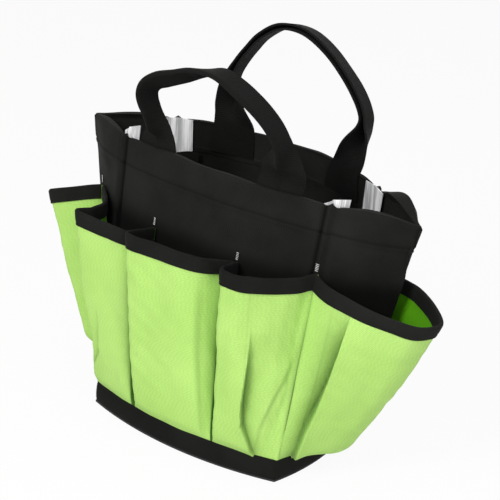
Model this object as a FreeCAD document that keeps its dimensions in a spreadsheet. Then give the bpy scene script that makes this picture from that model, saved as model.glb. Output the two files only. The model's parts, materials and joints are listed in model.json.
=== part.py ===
import FreeCAD, Part
import math
import os
from types import SimpleNamespace

import Sketcher
from FreeCAD import Placement, Rotation, Vector

# Garden tool bag: a soft tote with eight flared outer pockets and two webbing handles.
#
# The inner body is two tapering panels joined by two side gussets, each creased outwards
# along its middle, on a stiff base. A strip of pocket cloth runs round the body and is sewn
# to it at eight evenly spaced seams, so that each pocket is as wide as the next along the
# base. Its foot is caught under a band of cloth round the base and its mouth is bound with
# folded tape. Translucent plastic stays stand in the four corners and hold the body up.
#
# +X runs along the bag to the right, -Y is the front and +Z is up. The origin is on the
# floor under the middle of the base. All sizes are in millimetres.

DIMENSIONS = [
    # Body
    ("base_length", 245, "length over the base band, without its bow"),
    ("base_depth", 150, "depth over the base band, without its bow"),
    ("front_bow", 20, "how far the front and rear of the base bow out"),
    ("side_bow", 9, "how far the ends of the base bow out"),
    ("front_rim_bow", 12, "how far the front of the rim bows out"),
    ("rear_rim_bow", 26, "how far the rear of the rim bows out"),
    ("rim_length", 260, "length of the rim from corner to corner"),
    ("rim_depth", 96, "depth of the rim from corner to corner"),
    ("crease_out", 70, "how far the gusset's crease stands out beyond the rim's corners"),
    ("body_height", 306, "height of the rim"),
    ("panel_thick", 2.0, "lined body cloth"),
    ("fit_gap", 0.3, "clearance between sewn layers"),
    # Base
    ("floor_thick", 2.0, "cloth under the base board"),
    ("board_thick", 3.0, "base board"),
    ("board_gap", 0.3, "clearance round the board's edge"),
    ("band_height", 26, "height of the band round the base"),
    ("band_thick", 1.6, "band cloth with its turned edge"),
    # Hem, corner stays and their sleeves
    ("hem_height", 34, "depth of the turned hem inside the rim"),
    ("hem_thick", 1.0, "hem cloth"),
    ("hem_start", 26, "where the hem starts from a corner"),
    ("stay_leg", 18, "width of each leg of a corner stay"),
    ("stay_thick", 1.0, "plastic of a corner stay"),
    ("stay_rise", 10, "how far a stay stands above the rim"),
    ("sleeve_leg", 22, "width of each leg of the sleeve over a stay"),
    ("sleeve_thick", 0.8, "sleeve cloth"),
    ("sleeve_drop", 38, "top of the sleeve below the rim"),
    # Pockets
    ("mouth_height", 233, "height of the pocket mouths at their seams"),
    ("foot_height", 4, "lower edge of the pocket cloth"),
    ("flare_curve", 0.77, "power of height that the flare follows; below 1 fills out early"),
    ("pocket_thick", 1.2, "pocket cloth"),
    ("tape_thick", 0.8, "one layer of binding tape"),
    ("tape_width", 17, "depth of the binding"),
    ("fold_reach", 7, "how far the rounding of a pocket's fold reaches each way"),
    ("tack_length", 9, "bar of stitches at the top of a pocket seam"),
    ("tack_width", 1.6, "width of that bar"),
    ("tack_thick", 0.8, "how far that bar stands out"),
    ("tack_rise", 4, "gap between the mouth and that bar"),
    # Handles
    ("webbing_width", 50, "webbing laid flat at the rim"),
    ("webbing_thick", 2.2, "webbing"),
    ("tail_length", 32, "sewn end of the webbing below the rim"),
    ("leg_spacing", 148, "between the middles of the two legs at the rim"),
    ("leg_shift", 9, "how far each handle is sewn off the middle, opposite ways"),
    ("flat_height", 26, "height up to which the webbing stays flat"),
    ("fold_height", 54, "height where the webbing is folded in half"),
    ("grip_width", 24, "folded webbing"),
    ("grip_thick", 6, "folded webbing"),
    ("arch_width", 198, "between the middles of the arch's sides"),
    ("arch_radius", 60, "middle radius of the arch's shoulders"),
    ("handle_rise", 130, "top of the handle above its hinge line"),
    ("hinge_rise", 2.4, "hinge line of the webbing above the rim"),
    ("handle_lean", 12, "how far the handles lean outwards at rest, in degrees"),
    # Mouth of each kind of pocket: how far each fold lies along the line from the seam where
    # the pocket starts to the seam where it ends, and how far it stands out from that line.
    ("wedge_1_along", 16, "wedge pocket"),
    ("wedge_1_out", 13, ""),
    ("wedge_2_along", 55, ""),
    ("wedge_2_out", 48, ""),
    ("wedge_3_along", 86, ""),
    ("wedge_3_out", 41, ""),
    ("wedge_drop", 0, "fall of the mouth at its outermost fold"),
    ("square_1_along", 1, "square pocket"),
    ("square_1_out", 21, ""),
    ("square_2_along", 16, ""),
    ("square_2_out", 38, ""),
    ("square_3_along", 94, ""),
    ("square_3_out", 37, ""),
    ("square_drop", 0, ""),
    ("hood_1_along", -13, "hood pocket, round a corner of the body"),
    ("hood_1_out", 27, ""),
    ("hood_2_along", 46, ""),
    ("hood_2_out", 62, ""),
    ("hood_3_along", 54, ""),
    ("hood_3_out", 38, ""),
    ("hood_drop", 4, ""),
    ("tip_1_along", -32, "tip pocket, round a crease of the body"),
    ("tip_1_out", 26, ""),
    ("tip_2_along", -46, ""),
    ("tip_2_out", 46, ""),
    ("tip_3_along", -14, ""),
    ("tip_3_out", 48, ""),
    ("tip_drop", 16, ""),
    ("flare_1_along", -15, "flare pocket, round a crease of the body"),
    ("flare_1_out", 44, ""),
    ("flare_2_along", -10, ""),
    ("flare_2_out", 88, ""),
    ("flare_3_along", 19, ""),
    ("flare_3_out", 91, ""),
    ("flare_drop", 16, ""),
]

POCKETS = [
    # In their order round the bag from the front right corner.
    ("front_right", "wedge"),
    ("front_left", "square"),
    ("left_front", "hood"),
    ("left_rear", "tip"),
    ("rear_left", "wedge"),
    ("rear_right", "square"),
    ("right_rear", "hood"),
    ("right_front", "flare"),
]

os.makedirs("parts", exist_ok=True)
doc = FreeCAD.newDocument("garden_tool_bag")
sheet = doc.addObject("Spreadsheet::Sheet", "Dimensions")
for row, (alias, value, note) in enumerate(DIMENSIONS, start=1):
    sheet.set(f"A{row}", alias)
    sheet.set(f"B{row}", str(value))
    sheet.setAlias(f"B{row}", alias)
    sheet.set(f"C{row}", note)
doc.recompute()
d = SimpleNamespace(**{alias: float(sheet.get(alias)) for alias, _, _ in DIMENSIONS})

sub_parts = []


# ---- Shape of the body -------------------------------------------------------------------

# The body's outer face lies inside the band and the pocket cloth at the base.
wall_inset = d.band_thick + d.pocket_thick + 3 * d.fit_gap
foot_half_length = d.base_length / 2 - wall_inset
foot_half_depth = d.base_depth / 2 - wall_inset
front_run = 2 * foot_half_length
side_run = 2 * foot_half_depth
half_run = front_run + side_run
pocket_run = half_run / 4


def between(low, high, share):
    """Number that lies a share of the way from low to high."""
    return low + (high - low) * share


def wall_point(run, height, out=0.0, rim_bow=d.front_rim_bow):
    """Point on the body's outer face, moved outwards.

    run is the distance round the base from the front right corner, across the front first.
    The body is upright inside the band and changes evenly from there to the rim.
    """
    if run < 0 or run >= half_run:
        across_body = run - math.copysign(half_run, run)
        opposite = wall_point(across_body, height, out, d.rear_rim_bow)
        return Vector(-opposite.x, -opposite.y, height)
    share = max(height - d.band_height, 0) / (d.body_height - d.band_height)
    half_length = between(foot_half_length, d.rim_length / 2, share)
    half_depth = between(foot_half_depth, d.rim_depth / 2, share)
    front_bow = between(d.front_bow, rim_bow, share)
    side_bow = between(d.side_bow, 0, share)
    crease = between(0, d.crease_out, share)
    if run <= front_run:
        across = 1 - 2 * run / front_run
        spot = Vector(across * half_length, -half_depth - front_bow * (1 - across ** 2), height)
        normal = Vector(2 * front_bow * across / half_length, -1, 0)
    else:
        along = 2 * (run - front_run) / side_run - 1
        out_x = half_length + crease * (1 - abs(along)) + side_bow * (1 - along ** 2)
        spot = Vector(-out_x, along * half_depth, height)
        slope = math.copysign(crease, along) + 2 * side_bow * along
        normal = Vector(-half_depth, slope, 0)
    return spot + normal.normalize() * out


def offset_path(points, distance):
    """Open path moved sideways in plan, outwards for a positive distance."""
    normals = []
    for here, there in zip(points, points[1:]):
        normals.append(Vector(here.y - there.y, there.x - here.x, 0).normalize())
    moved = []
    for index, point in enumerate(points):
        before = normals[max(index - 1, 0)]
        after = normals[min(index, len(normals) - 1)]
        middle = before + after
        moved.append(point + middle * (2 * distance / middle.dot(middle)))
    return moved


def skin(rings):
    """Solid between closed rings of points, its sides split into flat facets.

    Each ring runs along one face of a sheet and back along the other. Both faces are split
    along the same slant, so that the sheet keeps its thickness where it twists.
    """
    count = len(rings[0])
    corners = [rings[0][::-1], rings[-1]]
    for low, high in zip(rings, rings[1:]):
        for here in range(count):
            there = (here + 1) % count
            if here < count / 2:
                corners.append([low[here], low[there], high[there]])
                corners.append([low[here], high[there], high[here]])
            else:
                corners.append([low[here], low[there], high[here]])
                corners.append([low[there], high[there], high[here]])
    faces = [Part.Face(Part.makePolygon(points + points[:1])) for points in corners]
    shell = Part.makeShell(faces)
    shell.sewShape()
    return Part.makeSolid(Part.Shell(shell.Faces))


def layer(paths, inner, thick, mitred=False):
    """Solid sheet of cloth lofted through a path at each height.

    Its near face stands `inner` from the path, outwards, and it is `thick` thick. A mitred
    sheet's paths run past its ends, which are cut there in line with the corner.
    """
    rings = []
    for points in paths:
        near = offset_path(points, inner)
        far = offset_path(points, inner + thick)
        if mitred:
            near = shorten(near[1:-1])
            far = shorten(far[1:-1])
        rings.append(near + far[::-1])
    return skin(rings)


def shorten(points):
    """Path taken back from each end by half the clearance."""
    first = (points[1] - points[0]).normalize() * (d.fit_gap / 2)
    last = (points[-2] - points[-1]).normalize() * (d.fit_gap / 2)
    return [points[0] + first] + points[1:-1] + [points[-1] + last]


def spread(first, last, count):
    """Evenly spaced numbers from first to last."""
    return [between(first, last, index / (count - 1)) for index in range(count)]


# Heights at which every layer of cloth has a section, so that all layers bend alike.
POCKET_LEVELS = 9
RIM_LEVELS = 4
pocket_levels = spread(d.band_height, d.mouth_height, POCKET_LEVELS)
levels = pocket_levels + spread(d.mouth_height, d.body_height, RIM_LEVELS)[1:]


def wall_layer(runs, low, high, depth, thick, mitred=False):
    """Flat or creased sheet inside the body's outer face, from low to high."""
    heights = [low] + [level for level in levels if low < level < high] + [high]
    paths = [[wall_point(run, height) for run in runs] for height in heights]
    return layer(paths, -depth - thick, thick, mitred)


def add_cloth(name, shape):
    """Sub-part whose cloth shape no solid feature gives."""
    item = doc.addObject("Part::Feature", name)
    item.Label = name
    item.Shape = shape
    sub_parts.append(item)
    return item


# ---- Base: floor cloth, board and band ---------------------------------------------------


def add_body(name):
    body = doc.addObject("PartDesign::Body", name)
    body.Label = name
    sub_parts.append(body)
    return body


def plan_sketch(body, name, height):
    """Sketch on the body's XY plane, lifted to a height that is bound to the sheet."""
    sketch = body.newObject("Sketcher::SketchObject", name)
    plane = [f for f in body.Origin.OriginFeatures if f.Role == "XY_Plane"][0]
    sketch.AttachmentSupport = [(plane, "")]
    sketch.MapMode = "FlatFace"
    sketch.setExpression(".AttachmentOffset.Base.z", height)
    return sketch


def bowed_outline(sketch, inset):
    """Rectangle of the base whose four sides bow out, moved in by an inset from the sheet."""
    cells = "Dimensions."
    half_length = f"({cells}base_length / 2 - {inset})"
    half_depth = f"({cells}base_depth / 2 - {inset})"
    inset_now = sketch.evalExpression(inset)
    inset_now = float(getattr(inset_now, "Value", inset_now))
    x = d.base_length / 2 - inset_now
    y = d.base_depth / 2 - inset_now
    corners = [(x, -y), (x, y), (-x, y), (-x, -y)]
    bows = [
        (d.side_bow, y, half_depth, f"{cells}side_bow"),
        (d.front_bow, x, half_length, f"{cells}front_bow"),
    ]
    first = sketch.GeometryCount
    for index, (start, end) in enumerate(zip(corners, corners[1:] + corners[:1])):
        bow, half_side, _, _ = bows[index % 2]
        outward = Vector(end[1] - start[1], start[0] - end[0], 0).normalize()
        middle = Vector((start[0] + end[0]) / 2, (start[1] + end[1]) / 2, 0) + outward * bow
        arc = Part.Arc(Vector(*start, 0), middle, Vector(*end, 0))
        sketch.addGeometry(arc, False)
    for index in range(4):
        here = first + index
        there = first + (index + 1) % 4
        sketch.addConstraint(Sketcher.Constraint("Coincident", here, 2, there, 1))
    for index, (corner_x, corner_y) in enumerate(corners):
        arc = first + index
        for kind, value, text in (
            ("DistanceX", corner_x, half_length),
            ("DistanceY", corner_y, half_depth),
        ):
            number = sketch.addConstraint(Sketcher.Constraint(kind, -1, 1, arc, 1, value))
            sign = "-" if value < 0 else ""
            sketch.setExpression(f"Constraints[{number}]", f"{sign}{text} * 1 mm")
    for index in range(4):
        bow, half_side, side_text, bow_text = bows[index % 2]
        radius = (half_side ** 2 + bow ** 2) / (2 * bow)
        number = sketch.addConstraint(Sketcher.Constraint("Radius", first + index, radius))
        rule = f"({side_text} ^ 2 + {bow_text} ^ 2) / (2 * {bow_text}) * 1 mm"
        sketch.setExpression(f"Constraints[{number}]", rule)


def pad(body, sketch, length):
    feature = body.newObject("PartDesign::Pad", sketch.Name + "_pad")
    feature.Profile = sketch
    feature.setExpression("Length", length)
    sketch.Visibility = False
    body.Tip = feature
    return feature


floor = add_body("base_panel")
floor_outline = plan_sketch(floor, "floor_outline", "0 mm")
bowed_outline(floor_outline, "(Dimensions.band_thick + Dimensions.fit_gap)")
pad(floor, floor_outline, "Dimensions.floor_thick")

board = add_body("base_board")
board_outline = plan_sketch(board, "board_outline", "Dimensions.floor_thick")
bowed_outline(
    board_outline,
    "(Dimensions.band_thick + Dimensions.pocket_thick + 3 * Dimensions.fit_gap"
    " + Dimensions.panel_thick + Dimensions.board_gap)",
)
pad(board, board_outline, "Dimensions.board_thick")

band = add_body("base_band")
band_outline = plan_sketch(band, "band_outline", "0 mm")
bowed_outline(band_outline, "0")
bowed_outline(band_outline, "Dimensions.band_thick")
pad(band, band_outline, "Dimensions.band_height")


# ---- Body panels, gussets and hems -------------------------------------------------------

FRONT_STEPS = 13
SIDE_STEPS = 9
PAST = d.stay_leg
seat = d.floor_thick + d.fit_gap
hem_low = d.body_height - d.hem_height
hem_depth = d.panel_thick + d.fit_gap

for name, start in (("front", 0), ("rear", half_run)):
    end = start + front_run
    runs = [start - PAST] + spread(start, end, FRONT_STEPS) + [end + PAST]
    panel = wall_layer(runs, seat, d.body_height, 0, d.panel_thick, mitred=True)
    add_cloth(f"{name}_panel", panel)
    runs = spread(start + d.hem_start, end - d.hem_start, FRONT_STEPS)
    add_cloth(f"{name}_hem", wall_layer(runs, hem_low, d.body_height, hem_depth, d.hem_thick))

for name, start in (("left", front_run), ("right", front_run - half_run)):
    end = start + side_run
    runs = [start - PAST] + spread(start, end, SIDE_STEPS) + [end + PAST]
    gusset = wall_layer(runs, seat, d.body_height, 0, d.panel_thick, mitred=True)
    add_cloth(f"{name}_gusset", gusset)
    runs = spread(start + d.hem_start, end - d.hem_start, SIDE_STEPS)
    add_cloth(f"{name}_hem", wall_layer(runs, hem_low, d.body_height, hem_depth, d.hem_thick))


# ---- Corner stays and their sleeves ------------------------------------------------------

CORNERS = [
    ("front_right", 0),
    ("front_left", front_run),
    ("rear_left", half_run),
    ("rear_right", front_run - half_run),
]
stay_depth = d.panel_thick + 2 * d.fit_gap
sleeve_depth = stay_depth + d.stay_thick + d.fit_gap
stay_foot = d.floor_thick + d.board_thick + d.fit_gap

for name, corner in CORNERS:
    runs = spread(corner - d.stay_leg, corner + d.stay_leg, 5)
    top = d.body_height + d.stay_rise
    add_cloth(f"{name}_stay", wall_layer(runs, stay_foot, top, stay_depth, d.stay_thick))
    runs = spread(corner - d.sleeve_leg, corner + d.sleeve_leg, 5)
    top = d.body_height - d.sleeve_drop
    add_cloth(
        f"{name}_sleeve", wall_layer(runs, stay_foot, top, sleeve_depth, d.sleeve_thick)
    )


# ---- Pockets and their bindings ----------------------------------------------------------

FOLD_STEPS = 3
seam_half = d.pocket_thick / 2 + d.tape_thick + d.fit_gap / 2
hug = d.pocket_thick / 2 + 2 * d.fit_gap


def soften(points, reach):
    """Path with each inner corner rounded by a short curve of FOLD_STEPS runs."""
    softened = [points[0]]
    for before, corner, after in zip(points, points[1:], points[2:]):
        back = before - corner
        on = after - corner
        start = corner + back * (min(reach, back.Length / 3) / back.Length)
        end = corner + on * (min(reach, on.Length / 3) / on.Length)
        for share in spread(0, 1, FOLD_STEPS + 1):
            pull = corner * (2 * share * (1 - share))
            softened.append(start * (1 - share) ** 2 + pull + end * share ** 2)
    return softened + [points[-1]]


def fold_runs(start, end):
    """Where a pocket's three folds meet the base: any corner or crease it passes is one."""
    shares = [0.2, 0.5, 0.8]
    for turn in (0, half_run):
        for bend in (turn, turn + front_run, turn + front_run + side_run / 2):
            share = (bend - start) / (end - start)
            if 0.05 < share < 0.95:
                nearest = min(range(3), key=lambda index: abs(shares[index] - share))
                shares[nearest] = share
    return [between(start, end, share) for share in shares]


def make_pocket(order, kind):
    """Cloth of one pocket and the binding tape that is folded over its mouth."""
    start = order * pocket_run + seam_half
    end = (order + 1) * pocket_run - seam_half
    runs = [start] + fold_runs(start, end) + [end]

    first = wall_point(start, d.mouth_height, hug)
    last = wall_point(end, d.mouth_height, hug)
    along = (last - first).normalize()
    outward = Vector(-along.y, along.x, 0)
    mouth = [first]
    for fold in (1, 2, 3):
        fold_along = getattr(d, f"{kind}_{fold}_along")
        fold_out = getattr(d, f"{kind}_{fold}_out")
        mouth.append(first + along * fold_along + outward * fold_out)
    mouth.append(last)
    reach = max((point - first).dot(outward) for point in mouth)
    drop = getattr(d, f"{kind}_drop")

    def close_path(height):
        """Path close round the body, through the runs where the pocket folds."""
        return offset_path([wall_point(run, height) for run in runs], hug)

    def lower(points, rise, lift=0.0):
        """Lower the points by a share of the mouth's fall, in line with how far out they are."""
        tilted = []
        for point in points:
            fall = drop * rise * (point - first).dot(outward) / reach
            tilted.append(point + Vector(0, 0, lift - fall))
        return tilted

    def section(height, half_thick, lift=0.0):
        """Corners of the cloth's section at a height, half_thick to each side of its path."""
        rise = max(height - d.band_height, 0) / (d.mouth_height - d.band_height)
        flare = rise ** d.flare_curve
        path = []
        for close, far, near in zip(close_path(height), mouth, close_path(d.mouth_height)):
            path.append(close + (far - near) * flare)
        path = soften(path, max(d.fold_reach * flare, 2 * d.fit_gap))
        near = offset_path(path, -half_thick)
        far = offset_path(path, half_thick)
        return lower(near + far[::-1], rise, lift * rise)

    def tube(heights, half_thick, lift=0.0):
        return skin([section(height, half_thick, lift) for height in heights])

    half = d.pocket_thick / 2
    cloth = tube([d.foot_height] + pocket_levels, half, -d.tape_thick)
    # The tape follows the cloth, with a little room, and ends its width below the mouth.
    top_levels = pocket_levels[-4:]
    whole = tube(top_levels, half + d.tape_thick)
    inside = tube(top_levels, half + d.fit_gap / 2, d.fit_gap / 2 - d.tape_thick)
    body_runs = [start - PAST] + runs + [end + PAST]
    body = wall_layer(body_runs, top_levels[0], d.body_height, -d.fit_gap, d.hem_start)
    wide = 2 * d.base_length
    corners = [(-1, -1), (1, -1), (1, 1), (-1, 1), (-1, -1)]
    level = [first + along * (a * wide) + outward * (b * wide) for a, b in corners]
    edge = Part.Face(Part.makePolygon(lower(level, 1, -d.tape_width)))
    tape = whole.common(edge.extrude(Vector(0, 0, 2 * d.tape_width))).cut([inside, body])
    return cloth, tape


for order, (place, kind) in enumerate(POCKETS):
    cloth, tape = make_pocket(order, kind)
    add_cloth(f"{place}_pocket", cloth)
    add_cloth(f"{place}_binding", tape)


def make_tacks():
    """Short bars of white stitches that hold the top of each pocket seam to the body."""
    low = d.mouth_height + d.tack_rise
    bars = []
    for order in range(-4, 4):
        runs = [order * pocket_run, order * pocket_run + d.tack_width]
        paths = [[wall_point(run, height) for run in runs] for height in (low, low + d.tack_length)]
        bars.append(layer(paths, d.fit_gap, d.tack_thick))
    return Part.makeCompound(bars)


add_cloth("seam_tacks", make_tacks())


# ---- Handles -----------------------------------------------------------------------------

tail_depth = d.panel_thick + d.hem_thick + 2 * d.fit_gap
# The ends stop short of the hinge line, so that the skewed legs clear them folded flat.
tail_top = d.hinge_rise - d.webbing_thick / 2 - 3 * d.fit_gap


def make_tail(middle):
    """Sewn end of the webbing, flat against the hem."""
    half = d.webbing_width / 2 * front_run / d.rim_length
    runs = [middle - half, middle + half]
    low = d.body_height - d.tail_length
    return wall_layer(runs, low, d.body_height + tail_top, tail_depth, d.webbing_thick)


def block_section(x, width, depth, height):
    """Corners of a rectangle about (x, 0) at a height."""
    corners = [(-1, -1), (1, -1), (1, 1), (-1, 1)]
    return [Vector(x + a * width / 2, b * depth / 2, height) for a, b in corners]


def make_loop():
    """Handle above its hinge line: two legs that fold in half and a flat-topped arch.

    It is made upright over the origin, with its hinge line along X.
    """
    half = d.arch_width / 2
    rise = d.handle_rise - d.grip_thick / 2
    shoulder = rise - d.arch_radius

    def arch_edges(out):
        """Outline of the arch from left to right, `out` outside its middle line."""
        side = half + out
        top = rise + out
        radius = d.arch_radius + out
        slant = radius * math.sqrt(0.5)
        centre = half - d.arch_radius
        low_left = Vector(-side, 0, d.fold_height)
        up_left = Vector(-side, 0, shoulder)
        bend_left = Vector(-centre - slant, 0, shoulder + slant)
        top_left = Vector(-centre, 0, top)
        top_right = Vector(centre, 0, top)
        bend_right = Vector(centre + slant, 0, shoulder + slant)
        up_right = Vector(side, 0, shoulder)
        low_right = Vector(side, 0, d.fold_height)
        return [
            Part.makeLine(low_left, up_left),
            Part.Arc(up_left, bend_left, top_left).toShape(),
            Part.makeLine(top_left, top_right),
            Part.Arc(top_right, bend_right, up_right).toShape(),
            Part.makeLine(up_right, low_right),
        ]

    outer = arch_edges(d.grip_thick / 2)
    inner = arch_edges(-d.grip_thick / 2)
    ends = []
    for side in (-1, 1):
        near = Vector(side * (half - d.grip_thick / 2), 0, d.fold_height)
        far = Vector(side * (half + d.grip_thick / 2), 0, d.fold_height)
        ends.append(Part.makeLine(near, far))
    outline = Part.Wire(Part.__sortEdges__(outer + inner + ends))
    arch = Part.Face(outline).extrude(Vector(0, d.grip_width, 0))
    arch.translate(Vector(0, -d.grip_width / 2, 0))

    loop = arch
    for side in (-1, 1):
        foot = side * d.leg_spacing / 2
        flat_x = between(foot, side * half, d.flat_height / (2 * d.fold_height))
        end = Part.makeCylinder(
            d.webbing_thick / 2,
            d.webbing_width,
            Vector(foot - d.webbing_width / 2, 0, 0),
            Vector(1, 0, 0),
        )
        sections = [
            (foot, d.webbing_width, d.webbing_thick, 0),
            (flat_x, d.webbing_width, d.webbing_thick, d.flat_height),
            (side * half, d.grip_thick, d.grip_width, d.fold_height),
        ]
        loop = loop.fuse([skin([block_section(*section) for section in sections]), end])
    return loop.removeSplitter()


for name, facing, start in (("front", -1, 0), ("rear", 1, half_run)):
    feet = []
    for end_name, side in (("left", -1), ("right", 1)):
        x = facing * d.leg_shift + side * d.leg_spacing / 2
        middle = start + front_run / 2 + facing * x * front_run / d.rim_length
        add_cloth(f"{name}_handle_{end_name}_end", make_tail(middle))
        feet.append(wall_point(middle, d.body_height, -tail_depth - d.webbing_thick / 2))
    # The hinge line runs through both feet, a little skewed where the rim bows.
    hinge_line = feet[1] - feet[0]
    skew = math.degrees(math.atan2(hinge_line.y, hinge_line.x))
    hinge = (feet[0] + feet[1]) / 2 + Vector(0, 0, d.hinge_rise)
    loop = add_cloth(f"{name}_handle", make_loop())
    lean = Rotation(Vector(1, 0, 0), -facing * d.handle_lean)
    loop.Placement = Placement(hinge, Rotation(Vector(0, 0, 1), skew) * lean)
    print(f"{name} handle: hinge at {hinge}, skewed by {skew:.3f} degrees")


# ---- Check and write ---------------------------------------------------------------------

doc.recompute()
for item in doc.Objects:
    if "Invalid" in item.State or "Error" in item.State:
        raise RuntimeError(f"{item.Label} did not compute: {item.State}")
for item in sub_parts:
    if item.Shape.isNull() or not item.Shape.isValid() or not item.Shape.Solids:
        raise RuntimeError(f"{item.Label} has no valid solid")
    item.Shape.exportStep(f"parts/{item.Label}.step")
    box = item.Shape.BoundBox
    print(
        f"{item.Label:28s} solids {len(item.Shape.Solids):2d} volume {item.Shape.Volume:10.0f}"
        f"  x {box.XMin:7.1f} {box.XMax:7.1f}  y {box.YMin:7.1f} {box.YMax:7.1f}"
        f"  z {box.ZMin:6.1f} {box.ZMax:6.1f}"
    )
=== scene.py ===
import json
import math

import bpy
import numpy as np
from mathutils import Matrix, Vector


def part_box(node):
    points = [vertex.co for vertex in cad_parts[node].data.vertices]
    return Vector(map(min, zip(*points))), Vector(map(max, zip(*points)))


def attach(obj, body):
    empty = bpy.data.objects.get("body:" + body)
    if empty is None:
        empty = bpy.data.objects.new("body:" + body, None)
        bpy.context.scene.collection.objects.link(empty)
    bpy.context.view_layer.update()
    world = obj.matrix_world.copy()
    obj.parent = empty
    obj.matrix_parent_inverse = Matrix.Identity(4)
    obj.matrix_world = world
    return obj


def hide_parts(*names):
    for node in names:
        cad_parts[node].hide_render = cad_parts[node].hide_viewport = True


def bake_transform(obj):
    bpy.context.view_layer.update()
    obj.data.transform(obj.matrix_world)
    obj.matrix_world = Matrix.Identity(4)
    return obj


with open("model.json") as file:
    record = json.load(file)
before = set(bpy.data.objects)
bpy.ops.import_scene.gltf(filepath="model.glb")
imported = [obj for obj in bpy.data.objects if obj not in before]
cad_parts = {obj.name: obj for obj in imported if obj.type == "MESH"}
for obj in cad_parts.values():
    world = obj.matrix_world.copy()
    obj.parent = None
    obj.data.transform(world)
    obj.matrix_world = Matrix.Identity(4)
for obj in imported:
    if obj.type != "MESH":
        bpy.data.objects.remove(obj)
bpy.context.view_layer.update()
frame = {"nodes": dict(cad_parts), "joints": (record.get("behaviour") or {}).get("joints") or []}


# ---- Body cloth --------------------------------------------------------------------------
# The inner body is black woven polyester: front and rear panels sewn to two side gussets
# that crease outwards along their middle. Every corner seam is folded over into a thin
# ridge, and the rim is turned in and stitched down as a deep hem.

band_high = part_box("base_band")[1]
gusset_low, gusset_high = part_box("left_gusset")
panel_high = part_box("front_panel")[1]
board_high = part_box("base_board")[1]
# How far the base and the rim bow out, how far the rim dips at the gussets' creases, and
# half of its depth at its corners.
SIDE_BOW = 0.009
BASE_BOW = 0.020
FRONT_RIM_BOW = 0.012
REAR_RIM_BOW = 0.031
LEFT_RIM_DIP = 0.0075
RIGHT_RIM_DIP = 0.011
RIM_HALF_DEPTH = 0.048
# Share of the solids' way out at which the creases stand.
CREASE_SHARE = 1.11
# The rear right corner of the rim slumps.
CORNER_SLUMP = 0.0045
SLUMP_WIDTH = 0.035
BOARD_CLEARANCE = 0.0023
SEW_GAP = 0.0003
band_top = band_high.z
rim = panel_high.z
foot_half_length = board_high.x + BOARD_CLEARANCE - SIDE_BOW
foot_half_depth = gusset_high.y
rim_half_length = panel_high.x
crease_out = CREASE_SHARE * (-gusset_low.x - rim_half_length)
front_run = 2 * foot_half_length
side_run = 2 * foot_half_depth
half_run = front_run + side_run


def bump(distance, width):
    """Smooth bump of height 1 at distance 0."""
    return np.exp(-((distance / width) ** 2))


def ease(value, low, high):
    """0 up to low, 1 from high, smooth between."""
    share = np.clip((value - low) / (high - low), 0, 1)
    return share * share * (3 - 2 * share)


def wall(run, height, out=0.0):
    """Points of the body's outer face, moved outwards.

    run is the distance round the base from the front right corner, across the front first.
    The gussets belly out below the rim, which sags a little at their creases.
    """
    run = np.asarray(run, float) % (2 * half_run)
    run, height = np.broadcast_arrays(run, np.asarray(height, float))
    facing = np.where(run >= half_run, -1.0, 1.0)
    rim_bow = np.where(run >= half_run, REAR_RIM_BOW, FRONT_RIM_BOW)
    dip = np.where(run >= half_run, RIGHT_RIM_DIP, LEFT_RIM_DIP)
    run = np.where(run >= half_run, run - half_run, run)
    share = np.maximum(height - band_top, 0) / (rim - band_top)
    half_length = foot_half_length + (rim_half_length - foot_half_length) * share
    half_depth = foot_half_depth + (RIM_HALF_DEPTH - foot_half_depth) * share
    bow = BASE_BOW + (rim_bow - BASE_BOW) * share
    side_bow = SIDE_BOW * (1 - share)
    crease = crease_out * np.sqrt(share)
    across = 1 - 2 * run / front_run
    along = 2 * (run - front_run) / side_run - 1
    on_front = run <= front_run
    x = np.where(
        on_front,
        across * half_length,
        -half_length - crease * (1 - np.abs(along)) - side_bow * (1 - along**2),
    )
    y = np.where(on_front, -half_depth - bow * (1 - across**2), along * half_depth)
    normal_x = np.where(on_front, 2 * bow * across / half_length, -half_depth)
    normal_y = np.where(on_front, -1.0, np.sign(along) * crease + 2 * side_bow * along)
    size = np.hypot(normal_x, normal_y)
    x = (x + out * normal_x / size) * facing
    y = (y + out * normal_y / size) * facing
    dip = np.where(on_front, 0.0, dip * (1 - np.abs(along)) * share**3)
    slump = CORNER_SLUMP * share**3 * bump(run - front_run, SLUMP_WIDTH)
    dip = dip + np.where(facing < 0, slump, 0.0)
    return np.stack([x, y, height - dip], axis=-1)


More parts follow.
